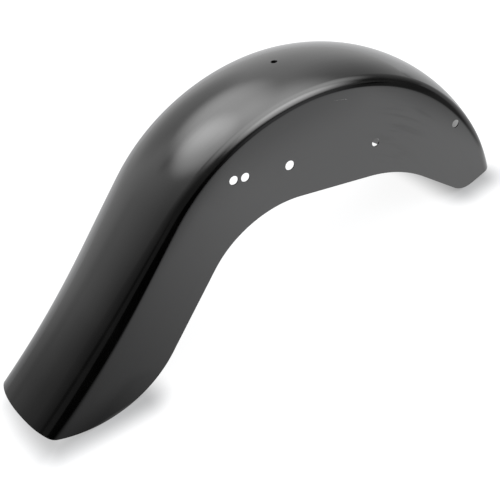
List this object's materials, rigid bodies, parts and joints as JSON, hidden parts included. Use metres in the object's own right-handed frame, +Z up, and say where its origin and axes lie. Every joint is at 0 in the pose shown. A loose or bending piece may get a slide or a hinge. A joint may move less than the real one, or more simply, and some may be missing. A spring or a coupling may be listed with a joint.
{
  "type": "motorcycle rear fender",
  "caption": "One-piece sheet metal motorcycle rear fender with a domed crown, rolled shoulders, flat sides and a flipped-up tail.",
  "frame": {"origin": "on the surface it stands on, under the middle of its bounding box", "axes": "+X towards the front of the motorcycle, +Y to its left, +Z up with the fender standing on its front corners and on the lower edges of its tail"},
  "size_m": [0.8428, 0.1764, 0.3316],
  "materials": {
    "black_coat": "satin black coat"
  },
  "bodies": {
    "root": {"rear_fender": "black_coat"}
  },
  "joints": []
}
